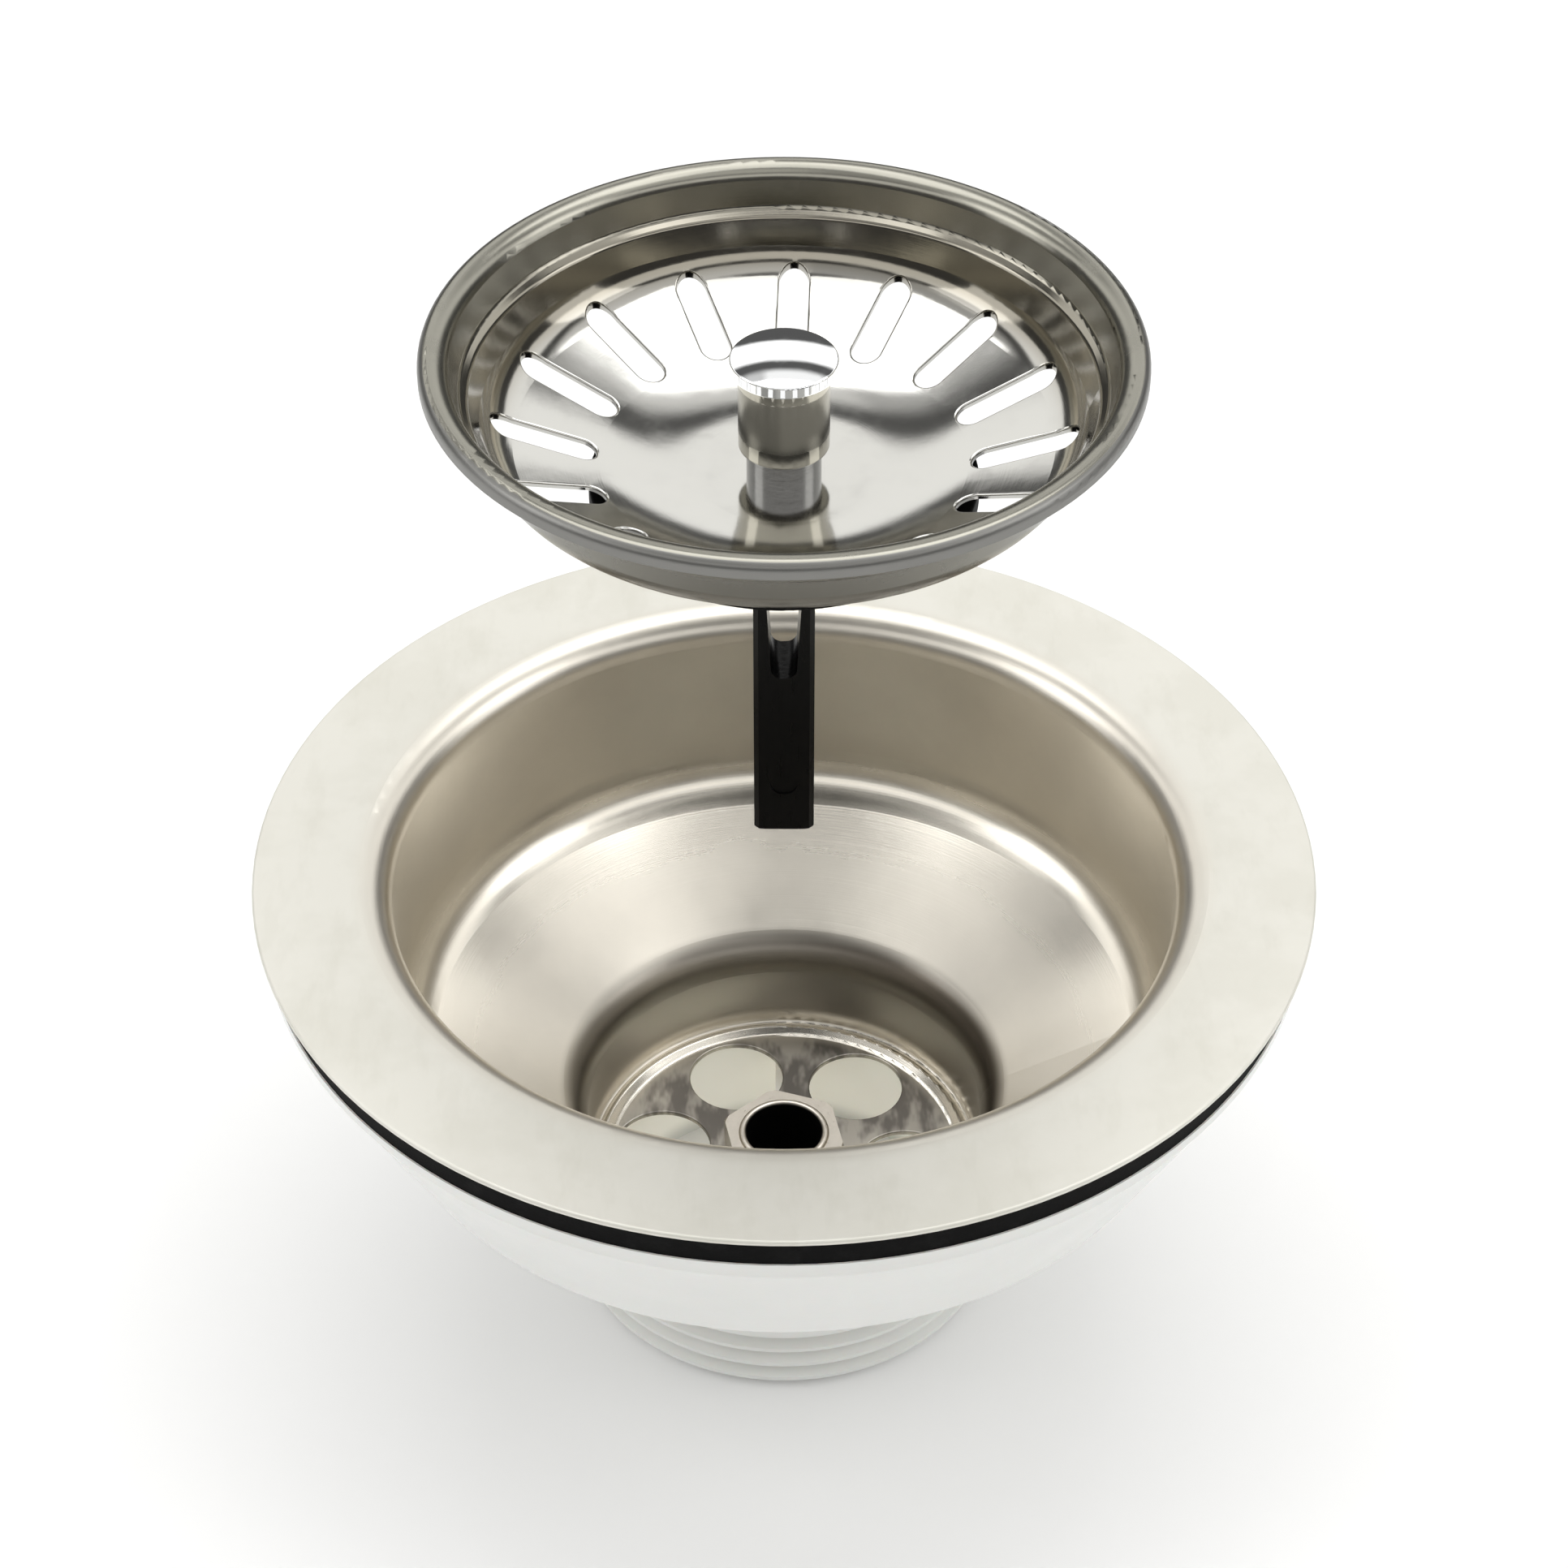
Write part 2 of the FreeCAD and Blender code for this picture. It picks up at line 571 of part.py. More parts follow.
def basket_dish():
    """The slotted dish, pressed from one sheet, with a turned-down rim."""
    rim = FLOOR + " + dish_depth"
    ledge = rim + " - ledge_depth"
    face = [
        ("spindle_radius + spindle_play", FLOOR, None),
        ("floor_radius", FLOOR, "floor_round"),
        ("slope_radius", FLOOR + " + slope_rise", "slope_round"),
        ("ledge_radius", ledge, "ledge_round"),
        ("ledge_radius + ledge_width", ledge + " + ledge_rise", "ledge_round"),
        ("dish_radius - lip_width", rim, "lip_round"),
        ("dish_radius", rim, "lip_edge"),
        ("dish_radius", rim + " - lip_hem", None),
    ]
    pressing = pressed("dish", face, "-dish_sheet")

    def slot(name):
        """A round-ended slot along X, as a tool."""
        sketch = doc.addObject("Sketcher::SketchObject", name + "_outline")
        half = "slot_width / 2"
        draw_slot(sketch, "slot_inner + " + half, "slot_outer - " + half, half)
        return extruded(name, sketch, (0, 0, 1), rim)

    slotted = cut("dish_slotted", pressing, around(slot, "slot", int(value("slot_count")), "slot_turn"))
    doc.recompute()
    lifted(fillet("basket_dish", slotted, slot_rims(slotted.Shape), "slot_edge"))


def slot_rims(shape):
    """Numbers of the slots' edges on the dish's upper face."""
    face = doc.getObject("dish_face").Shape
    near, far = value("slot_inner") - 0.01, value("slot_outer") + 0.01
    found = []
    for number, edge in enumerate(shape.Edges, start=1):
        ends = [edge.valueAt(edge.FirstParameter), edge.valueAt(edge.LastParameter)]
        points = [edge.valueAt((edge.FirstParameter + edge.LastParameter) / 2)] + ends
        flat = [FreeCAD.Vector(math.hypot(p.x, p.y), 0, p.z) for p in points]
        if all(near < p.x < far and Part.Vertex(p).distToShape(face)[0] < 0.01 for p in flat):
            if edge.Length < 2 * value("slot_outer"):
                found.append(number)
    return found


def draw_slot(sketch, near, far, half):
    """A round-ended slot whose end centres lie on the X axis."""
    x1, x2, r = value(near), value(far), value(half)
    vector = FreeCAD.Vector
    up = vector(0, 0, 1)
    quarter = math.pi / 2
    near_circle, far_circle = (Part.Circle(vector(x, 0, 0), up, r) for x in (x1, x2))
    near_end = sketch.addGeometry(Part.ArcOfCircle(near_circle, quarter, 3 * quarter))
    far_end = sketch.addGeometry(Part.ArcOfCircle(far_circle, -quarter, quarter))
    top = sketch.addGeometry(Part.LineSegment(vector(x2, r, 0), vector(x1, r, 0)))
    foot = sketch.addGeometry(Part.LineSegment(vector(x1, -r, 0), vector(x2, -r, 0)))
    for a, b in (((near_end, 1), (top, 2)), ((near_end, 2), (foot, 1)),
                 ((far_end, 1), (foot, 2)), ((far_end, 2), (top, 1))):
        sketch.addConstraint(Sketcher.Constraint("Tangent", a[0], a[1], b[0], b[1]))
    sketch.addConstraint(Sketcher.Constraint("Equal", near_end, far_end))
    for arc, text in ((near_end, near), (far_end, far)):
        sketch.addConstraint(Sketcher.Constraint("PointOnObject", arc, 3, -1))
        number = sketch.addConstraint(Sketcher.Constraint("DistanceX", -1, 1, arc, 3, value(text)))
        sketch.setExpression("Constraints[%d]" % number, full(text))
    number = sketch.addConstraint(Sketcher.Constraint("Radius", near_end, r))
    sketch.setExpression("Constraints[%d]" % number, full(half))


def basket_seal():
    """The rubber plug that closes the throat, held under the dish by a steel washer."""
    hole = "spindle_radius + spindle_play"
    top = FLOOR + " - dish_sheet"
    foot = top + " - plug_thick"
    lifted(turned("plug_seal", [
        (hole, foot, None),
        ("plug_radius", foot, "plug_edge"),
        ("plug_radius", top, "plug_edge"),
        (hole, top, None),
    ]))
    lifted(ring("seal_washer", hole, "washer_radius", foot + " - washer_thick", "washer_thick"))


def basket_stem():
    """The square plastic stem with its collar, tapered window, tip notches and round marks."""
    collar_top = FLOOR + " - dish_sheet - plug_thick - washer_thick"
    collar_foot = collar_top + " - collar_height"
    half = "stem_width / 2"
    body = doc.addObject("PartDesign::Body", "stem_moulding")
    pad = body.newObject("PartDesign::Pad", "stem_blank")
    pad.Profile = draw(body_sketch(body, "stem_section", "XY_Plane"), [
        ("-" + half, "-" + half, None), (half, "-" + half, None),
        (half, half, None), ("-" + half, half, None),
    ])
    bind(pad, Length=collar_top)
    doc.recompute()
    collar = body.newObject("PartDesign::Revolution", "stem_collar")
    collar.Profile = draw(body_sketch(body, "collar_section", "XZ_Plane"), [
        ("0", collar_foot, None), ("collar_radius", collar_foot, None),
        ("collar_radius", collar_top, None), ("0", collar_top, None),
    ])
    collar.ReferenceAxis = (collar.Profile[0], ["V_Axis"])
    collar.Angle = 360
    body.Tip = collar
    doc.recompute()
    long_edges = edges_spanning(collar.Shape, "0", collar_foot)
    bevel = body.newObject("PartDesign::Chamfer", "stem_bevels")
    bevel.Base = (collar, long_edges)
    bind(bevel, Size="stem_bevel")
    body.Tip = bevel
    doc.recompute()
    tip = body.newObject("PartDesign::Chamfer", "tip_bevels")
    tip.Base = (bevel, edges_spanning(bevel.Shape, "0", "0"))
    bind(tip, Size="tip_bevel")
    body.Tip = tip
    screw = doc.addObject("Part::Cylinder", "screw_hole")
    bind(screw, Radius="spindle_radius + spindle_play", Height=FLOOR)
    place(screw, "z", FLOOR + " - spindle_reach - spindle_end")
    tools = [screw, window_tool(), face_tool(-1, "notch_depth", notch_outline)]
    tools += [face_tool(1, "notch_depth", notch_outline)]
    tools += [face_tool(side, "mark_depth", mark_outline) for side in (-1, 1)]
    lifted(cut("stem", body, tools))


def edges_spanning(shape, low, high):
    """Names of the edges that run from one height to another."""
    low, high = value(low), value(high)
    return ["Edge%d" % number for number, edge in enumerate(shape.Edges, start=1)
            if abs(edge.BoundBox.ZMin - low) < 0.01 and abs(edge.BoundBox.ZMax - high) < 0.01]


def window_tool():
    """The tapered window, right through from front to back, with a rounded foot."""
    sketch = draw(upright_sketch("window_outline"), [
        ("-window_narrow / 2", "window_foot", "window_round"),
        ("window_narrow / 2", "window_foot", "window_round"),
        ("window_wide / 2", "window_top", None),
        ("-window_wide / 2", "window_top", None),
    ])
    return place(extruded("window", sketch, (0, -1, 0), "2 * stem_width"), "y", "stem_width")


def notch_outline(sketch):
    """The arched recess in the stem's tip."""
    draw(sketch, [
        ("-notch_width / 2", "-tip_bevel", None),
        ("notch_width / 2", "-tip_bevel", None),
        ("notch_width / 2", "notch_height", "notch_round"),
        ("-notch_width / 2", "notch_height", "notch_round"),
    ])
    return "tip_notch"


def mark_outline(sketch):
    """The shallow round mark near the stem's tip."""
    centre, radius = value("mark_height"), value("mark_radius")
    sketch.addGeometry(Part.Circle(FreeCAD.Vector(0, centre, 0), FreeCAD.Vector(0, 0, 1), radius))
    locate(sketch, 0, 3, "0", "mark_height")
    number = sketch.addConstraint(Sketcher.Constraint("Radius", 0, radius))
    sketch.setExpression("Constraints[%d]" % number, full("mark_radius"))
    return "round_mark"


def face_tool(side, depth, outline):
    """A tool that cuts an outline this deep into the stem's front (-1) or back (1) face."""
    where = "front" if side < 0 else "back"
    sketch = upright_sketch("outline_" + where)
    name = "%s_%s" % (outline(sketch), where)
    tool = extruded(name, sketch, (0, side, 0), "stem_width")
    return place(tool, "y", "%d * (stem_width / 2 - %s)" % (side, depth))


def knob():
    """Column, sleeve and domed cap on the dish, and the screw that joins them to the stem."""
    hole = "spindle_radius + spindle_play"
    cap_foot = FLOOR + " + sleeve_top"
    shank_foot = cap_foot + " - cap_bite"
    cap_top = cap_foot + " + cap_bevel + cap_edge"
    lifted(ring("knob_column", hole, "column_radius", FLOOR, "sleeve_top - cap_bite"))
    lifted(turned("knob_sleeve", [
        ("column_radius + sleeve_play", FLOOR + " + sleeve_foot", None),
        ("sleeve_radius", FLOOR + " + sleeve_foot", "sleeve_edge"),
        ("sleeve_radius", cap_foot, None),
        ("column_radius + sleeve_play", cap_foot, None),
    ]))
    lifted(turned("knob_cap", [
        (hole, shank_foot + " + cap_gap", None),
        ("column_radius - sleeve_play", shank_foot + " + cap_gap", None),
        ("column_radius - sleeve_play", cap_foot, None),
        ("sleeve_radius", cap_foot, None),
        ("cap_radius", cap_foot + " + cap_bevel", "cap_corner"),
        ("cap_radius", cap_top, "cap_shoulder"),
        ("cap_radius / 2", cap_top + " + cap_rise", "cap_dome"),
        ("0", cap_top + " + cap_rise", None),
        ("0", cap_foot + " + cap_gap", None),
        (hole, cap_foot + " + cap_gap", None),
    ]))
    lifted(turned("knob_screw", [
        ("0", FLOOR + " - spindle_reach", None),
        ("spindle_radius", FLOOR + " - spindle_reach", None),
        ("spindle_radius", cap_foot, None),
        ("0", cap_foot, None),
    ]))


# ---------------------------------------------------------------- build and write

strainer_bowl()
waste_gaskets()
waste_cup()
clamp_bolt()
captive_nut()
basket_dish()
basket_seal()
basket_stem()
knob()
doc.recompute()

PIECES = [
    "strainer_bowl", "flange_gasket", "rim_gasket", "well_seal", "waste_cup", "clamp_bolt", "captive_nut",
    "basket_dish", "plug_seal", "seal_washer", "stem", "knob_column", "knob_sleeve", "knob_cap", "knob_screw",
]

for thing in doc.Objects:
    if "Invalid" in thing.State or "Error" in thing.State:
        raise RuntimeError("%s did not build: %s" % (thing.Name, thing.State))

os.makedirs("parts", exist_ok=True)
for name in PIECES:
    piece = doc.getObject(name)
    piece.Label = name
    if piece.Shape.isNull() or not piece.Shape.isValid():
        raise RuntimeError(name + " has no valid shape")
    piece.Shape.exportStep("parts/%s.step" % name)
    box = piece.Shape.BoundBox
    print("%-15s %9.1f mm3  %d solid  z %.2f to %.2f" % (
        name, piece.Shape.Volume, len(piece.Shape.Solids), box.ZMin, box.ZMax))
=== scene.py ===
import math

import bpy
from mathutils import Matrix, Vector


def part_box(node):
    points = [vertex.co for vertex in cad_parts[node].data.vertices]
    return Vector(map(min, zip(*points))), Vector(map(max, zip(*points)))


bl_info = {
    "name": "Basket Strainer",
    "version": (1, 0, 0),
    "blender": (4, 5, 0),
    "location": "3D View > Sidebar > Strainer",
    "description": "Gives the packed sink basket strainer its finishes, fine detail and stage",
    "category": "Object",
}

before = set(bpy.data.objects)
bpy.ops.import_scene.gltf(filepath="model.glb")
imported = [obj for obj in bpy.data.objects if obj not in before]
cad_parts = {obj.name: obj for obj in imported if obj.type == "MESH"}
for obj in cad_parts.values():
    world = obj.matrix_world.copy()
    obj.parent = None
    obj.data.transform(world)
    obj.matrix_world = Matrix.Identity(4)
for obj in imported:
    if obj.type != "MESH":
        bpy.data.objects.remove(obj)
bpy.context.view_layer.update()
MM = 0.001


# ---------------------------------------------------------------- shader maths

class Value:
    """One output socket. Sums on it add Math nodes to its material."""

    def __init__(self, finish, socket):
        self.finish = finish
        self.socket = socket

    def sum(self, operation, *terms, **settings):
        settings["operation"] = operation
        return self.finish.node("ShaderNodeMath", settings, dict(enumerate(terms)))

    def __add__(self, other):
        return self.sum("ADD", self, other)

    __radd__ = __add__

    def __sub__(self, other):
        return self.sum("SUBTRACT", self, other)

    def __rsub__(self, other):
        return self.sum("SUBTRACT", other, self)

    def __mul__(self, other):
        return self.sum("MULTIPLY", self, other)

    __rmul__ = __mul__

    def __truediv__(self, other):
        return self.sum("DIVIDE", self, other)

    def __pow__(self, other):
        return self.sum("POWER", self, other)

    def limited(self):
        """Kept between 0 and 1."""
        return self.sum("ADD", self, 0.0, use_clamp=True)

    def between(self, low, high):
        """0 below low, 1 above high, and a smooth step between them."""
        return self.finish.node(
            "ShaderNodeMapRange", {"interpolation_type": "SMOOTHSTEP"},
            {"Value": self, "From Min": low, "From Max": high})

    def band(self, start, rise, fall, end):
        """1 from rise to fall, and 0 outside start and end."""
        return self.between(start, rise) * (1 - self.between(fall, end))


class Tree:
    """A node tree in the making."""

    def __init__(self, tree):
        self.tree = tree

    def node(self, kind, settings=None, sockets=None, output=0):
        """Any node: its settings first, then the values or links of its sockets."""
        made = self.tree.nodes.new(kind)
        for key, setting in (settings or {}).items():
            setattr(made, key, setting)
        for key, given in (sockets or {}).items():
            self.join(made.inputs[key], given)
        return Value(self, made.outputs[output])

    def join(self, socket, given):
        if isinstance(given, Value):
            self.tree.links.new(given.socket, socket)
        elif hasattr(socket.default_value, "__len__") and not hasattr(given, "__len__"):
            socket.default_value = [given] * len(socket.default_value)
        elif hasattr(given, "__len__") and len(socket.default_value) == 4 and len(given) == 3:
            socket.default_value = (*given, 1.0)
        else:
            socket.default_value = given

    def place(self):
        """Position on the object, in millimetres, as x, y and z."""
        coords = self.node("ShaderNodeTexCoord", output=3)
        parts = self.node("ShaderNodeSeparateXYZ", sockets={0: coords})
        node = parts.socket.node
        return [Value(self, node.outputs[i]) / MM for i in range(3)]

    def facing(self):
        """Which way the surface faces, as x, y and z."""
        coords = self.node("ShaderNodeTexCoord", output=1)
        node = self.node("ShaderNodeSeparateXYZ", sockets={0: coords}).socket.node
        return [Value(self, node.outputs[i]) for i in range(3)]

    def vector(self, x, y, z):
        return self.node("ShaderNodeCombineXYZ", sockets={0: x, 1: y, 2: z})

    def noise(self, vector, scale, detail=2.0, rough=0.5):
        return self.node(
            "ShaderNodeTexNoise", {"noise_dimensions": "3D"},
            {"Vector": vector, "Scale": scale, "Detail": detail, "Roughness": rough})

    def blend(self, amount, first, second):
        """One colour turning into another as amount goes from 0 to 1."""
        return self.node(
            "ShaderNodeMix", {"data_type": "RGBA"}, {0: amount, 6: first, 7: second}, output=2)


class Finish(Tree):
    """A material in the making: a Principled shader, and the nodes that feed it."""

    def __init__(self, name, **sockets):
        self.material = bpy.data.materials.new(name)
        self.material.use_nodes = True
        super().__init__(self.material.node_tree)
        self.shader = self.tree.nodes["Principled BSDF"]
        self.set(**sockets)

    def set(self, **sockets):
        """Sets or links the shader's sockets; an underscore stands for a space."""
        for key, given in sockets.items():
            self.join(self.shader.inputs[key.replace("_", " ")], given)
        return self

    def bump(self, height, distance, strength=1.0):
        """A surface raised by height times a distance in millimetres."""
        return self.set(Normal=self.node(
            "ShaderNodeBump", None,
            {"Height": height, "Distance": distance * MM, "Strength": strength}))


def radius_of(x, y):
    return (x * x + y * y) ** 0.5


def spun_lines(finish, radius, z, x, y, scale):
    """Fine lines round the axis, as spinning and polishing leave them."""
    turn = finish.node("ShaderNodeMath", {"operation": "ARCTAN2"}, {0: y, 1: x})
    return finish.noise(finish.vector(radius * scale, z * scale, turn * 1.2), 1.0, 3.0, 0.6)


# Rings on the pieces, in millimetres: a mask rises over the first two and falls over the last two.
FOOT_RING = (30.0, 37.0, 41.0, 43.0)
BEAD_RING = (19.0, 20.5, 21.6, 22.1)
FUNNEL_RING = (23.0, 26.0, 36.0, 40.0)
SLEEVE_SATIN = (114.0, 114.2, 119.7, 119.9)
# Edges of the other areas, in millimetres: a mask steps from 0 to 1 between the two.
FLANGE_EDGE = (43.5, 47.0)
FLANGE_LEVEL = (56.5, 57.3)
PLATE_EDGE = (18.5, 20.5)
PLATE_LEVEL = (14.5, 16.0)
WELL_EDGE = (23.4, 25.5)
WELL_LEVEL = (14.2, 15.5)
DISH_LIP = (30.6, 33.5)
DISH_WALL_LEVEL = (113.0, 115.5)
BOLT_BORE = (4.3, 4.6)
OUTLET_BORE = (20.4, 21.0)


# ---------------------------------------------------------------- finishes

def satin_steel(colour, rough):
    """Spun stainless steel: satin flange and wall, with a polished band where the wall meets the funnel;
    painted shade darkens the well wall towards dark brown and darkens the plate in blotches.
    """
    finish = Finish("satin_steel", Metallic=1.0)
    x, y, z = finish.place()
    radius = radius_of(x, y)
    lines = spun_lines(finish, radius, z, x, y, 6.0)
    clouds = finish.noise(finish.vector(x, y, z), 0.09, 4.0, 0.55)
    smears = finish.noise(finish.vector(x, y * 0.35, z), 0.35, 3.0, 0.6)
    foot = radius.band(*FOOT_RING) * (1 - z.between(36.0, 40.0))
    bead = radius.band(*BEAD_RING) * (1 - z.between(*PLATE_LEVEL))
    polish = (foot * 0.5 + bead * 0.7).limited()
    flange = radius.between(*FLANGE_EDGE) * z.between(*FLANGE_LEVEL)
    funnel = radius.band(*FUNNEL_RING) * (1 - z.between(38.0, 42.0)) * z.between(24.0, 28.0)
    well = (1 - radius.between(*WELL_EDGE)) * z.between(*WELL_LEVEL)
    # Painted shade: the well wall is darkened towards dark brown, more towards its top and towards +x.
    well_painted_shade = well * (0.52 + z.between(19.0, 28.0) * 0.5 + x.between(-10.0, 16.0) * 0.22 - 0.12)
    plate = (1 - radius.between(*PLATE_EDGE)) * (1 - z.between(*PLATE_LEVEL))
    # Painted shade: the plate at the bottom of the well is darkened towards near-black, unevenly in
    # blotches.
    plate_painted_shade = plate * (0.45 + smears.between(0.4, 0.6) * 0.45)
    satin = finish.blend(clouds.between(0.3, 0.75), tuple(c * 0.93 for c in colour), colour)
    marks = (clouds.between(0.42, 0.62) * 0.6 + smears.between(0.5, 0.7) * 0.4).limited()
    pale = finish.blend(flange, satin, finish.blend(marks, (0.75, 0.735, 0.67), (0.69, 0.675, 0.605)))
    colour_with_well_shade = finish.blend(well_painted_shade.limited(), pale, (0.05, 0.04, 0.03))
    finish.set(
        Base_Color=finish.blend(plate_painted_shade, colour_with_well_shade, (0.12, 0.11, 0.10)),
        Metallic=1 - flange * 0.62 - funnel * 0.22,
        Roughness=(rough + clouds * 0.10 + smears * 0.06 + lines * 0.06 + flange * 0.08 - 0.11)
        * (1 - polish * 0.55))
    finish.bump(lines * 0.6 + smears * 0.2, 0.010)
    return finish.material


def polished_steel(colour, rough):
    """The basket's dish: mirror floor, satin lip and outside, with painted shade on the outside and a
    painted dark brownish reflection on the upper inner wall.
    """
    finish = Finish("polished_steel", Metallic=1.0)
    x, y, z = finish.place()
    radius = radius_of(x, y)
    lines = spun_lines(finish, radius, z, x, y, 9.0)
    smears = finish.noise(finish.vector(x, y, z), 0.22, 4.0, 0.6)
    satin = radius.between(*DISH_LIP)
    nx, ny, nz = finish.facing()
    outside = ((nx * x + ny * y) / (radius + 0.1) - nz * 0.3).between(0.10, 0.25)
    # Painted reflection: above this level the inner wall's colour is darker and browner, standing in for a
    # dark brownish reflection.
    upper = z.between(*DISH_WALL_LEVEL)
    wall = finish.blend(upper, colour, tuple(c * k for c, k in zip(colour, (0.52, 0.49, 0.43))))
    inside = finish.blend(satin, wall, tuple(c * k for c, k in zip(colour, (0.56, 0.55, 0.50))))
    finish.set(
        # Painted shade: faces turned outwards and down take a much darker copy of the steel colour.
        Base_Color=finish.blend(outside, inside, tuple(c * 0.44 for c in colour)),
        Roughness=rough + satin * 0.14 + outside * 0.14 + smears.between(0.45, 0.8) * 0.06 + lines * 0.04)
    finish.bump(smears * 0.8 + lines * 0.2, 0.008)
    return finish.material


def chrome(colour, rough):
    """Mirror chrome plating with a few faint smudges."""
    finish = Finish("chrome", Metallic=1.0, Base_Color=colour)
    x, y, z = finish.place()
    smudge = finish.noise(finish.vector(x, y, z), 0.5, 3.0, 0.6)
    finish.set(Roughness=rough + smudge.between(0.5, 0.8) * 0.06)
    return finish.material


def turned_steel(name, colour, rough):
    """Plain steel with fine turning lines."""
    finish = Finish(name, Metallic=1.0)
    x, y, z = finish.place()
    lines = spun_lines(finish, radius_of(x, y), z, x, y, 14.0)
    finish.set(
        Base_Color=finish.blend(lines, tuple(c * 0.9 for c in colour), colour),
        Roughness=rough + lines * 0.12)
    finish.bump(lines, 0.01)
    return finish.material


def sleeve_steel(colour, rough):
    """The knob's sleeve: satin in the middle, polished at both ends."""
    finish = Finish("sleeve_steel", Metallic=1.0)
    x, y, z = finish.place()
    lines = spun_lines(finish, radius_of(x, y), z, x, y, 14.0)
    satin = z.band(*SLEEVE_SATIN)
    finish.set(
        Base_Color=finish.blend(satin, tuple(c * 1.5 for c in colour), colour),
        Roughness=0.05 + satin * rough + lines * satin * 0.1)
    finish.bump(lines * satin, 0.01)
    return finish.material


def nickel_brass(name, colour, rough):
    """Nickel-plated brass: warm and slightly uneven, with painted shade in the hole through its middle."""
    finish = Finish(name, Metallic=1.0)
    x, y, z = finish.place()
    radius = radius_of(x, y)
    grain = finish.noise(finish.vector(x, y, z), 1.6, 4.0, 0.65)
    lines = spun_lines(finish, radius, z, x, y, 10.0)
    # Painted shade: the hole through the middle is coloured near-black and made rough.
    painted_bore_shade = 1 - radius.between(*BOLT_BORE)
    plated = finish.blend(grain, tuple(c * 0.86 for c in colour), colour)
    finish.set(
        Base_Color=finish.blend(painted_bore_shade, plated, (0.01, 0.01, 0.01)),
        Roughness=rough + grain * 0.1 + lines * 0.05 + painted_bore_shade * 0.4)
    finish.bump(grain * 0.5 + lines * 0.5, 0.015)
    return finish.material


def black_rubber(colour, rough):
    """Moulded rubber with a fine matt grain."""
    finish = Finish("black_rubber", Specular_IOR_Level=0.04)
    x, y, z = finish.place()
    grain = finish.noise(finish.vector(x, y, z), 5.0, 3.0, 0.7)
    dust = finish.noise(finish.vector(x, y, z), 0.4, 4.0, 0.6)
    finish.set(
        Base_Color=finish.blend(dust.between(0.45, 0.9), colour, tuple(c * 2.2 for c in colour)),
        Roughness=rough + grain * 0.2)
    finish.bump(grain, 0.03)
    return finish.material


def black_plastic(colour, rough):
    """Glossy moulded plastic with faint flow marks along the stem."""
    finish = Finish("black_plastic", Specular_IOR_Level=0.11)
    x, y, z = finish.place()
    flow = finish.noise(finish.vector(x * 2.0, y * 2.0, z * 0.25), 0.8, 3.0, 0.5)
    finish.set(
        Base_Color=finish.blend(flow, colour, tuple(c * 1.6 for c in colour)),
        Roughness=rough + flow * 0.14)
    finish.bump(flow, 0.03)
    return finish.material


def white_plastic(colour, rough):
    """Glossy moulded polypropylene: smooth, with a soft waviness, and a painted glow inside the outlet
    standing in for light.
    """
    finish = Finish("white_plastic", Specular_IOR_Level=0.5, Subsurface_Weight=0.08, Subsurface_Scale=0.004)
    x, y, z = finish.place()
    waves = finish.noise(finish.vector(x, y, z), 0.07, 3.0, 0.5)
    grain = finish.noise(finish.vector(x, y, z), 3.0, 3.0, 0.6)
    # Painted light: inside the outlet, near the bottom, the moulding glows faintly warm though no lamp is
    # there.
    outlet_painted_glow = (1 - radius_of(x, y).between(*OUTLET_BORE)) * (1 - z.between(12.5, 13.5)) * z.between(0.3, 3.0)
    finish.set(
        Emission_Strength=1.0,
        Emission_Color=finish.blend(outlet_painted_glow, (0.0, 0.0, 0.0), (0.20, 0.19, 0.155)),
        Base_Color=finish.blend(waves.between(0.3, 0.8), tuple(c * 0.97 for c in colour), colour),
        Roughness=rough + waves * 0.08 + grain * 0.04)
    finish.bump(waves * 0.9 + grain * 0.1, 0.05)
    return finish.material


def dress(node, material):
    """Gives a CAD node its finish."""
    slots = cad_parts[node].material_slots
    for slot in slots:
        slot.material = material


# ---------------------------------------------------------------- settings

def colour_property(name, description, default):
    return bpy.props.FloatVectorProperty(
        name=name, description=description, default=default, subtype="COLOR", size=3, min=0.0, max=1.0)


def factor_property(name, description, default):
    return bpy.props.FloatProperty(
        name=name, description=description, default=default, subtype="FACTOR", min=0.0, max=1.0)


class StrainerSettings(bpy.types.PropertyGroup):
    """Colours and roughnesses of the strainer's finishes."""

    bowl_colour: colour_property("Bowl", "Colour of the satin steel bowl", (0.76, 0.72, 0.64))
    bowl_rough: factor_property("Bowl roughness", "Roughness of the satin steel", 0.33)
    dish_colour: colour_property("Dish", "Colour of the basket's polished steel", (0.52, 0.515, 0.49))
    dish_rough: factor_property("Dish roughness", "Roughness of the basket's polished steel", 0.08)
    chrome_colour: colour_property("Chrome", "Colour of the knob's chrome", (0.88, 0.89, 0.90))
    chrome_rough: factor_property("Chrome roughness", "Roughness of the knob's chrome", 0.04)
    bolt_colour: colour_property("Bolt", "Colour of the nickel-plated bolt", (0.80, 0.75, 0.67))
    rubber_colour: colour_property("Rubber", "Colour of the gaskets and seals", (0.006, 0.006, 0.006))
    stem_colour: colour_property("Stem", "Colour of the black stem", (0.003, 0.003, 0.003))
    cup_colour: colour_property("Cup", "Colour of the white moulding", (0.84, 0.845, 0.82))


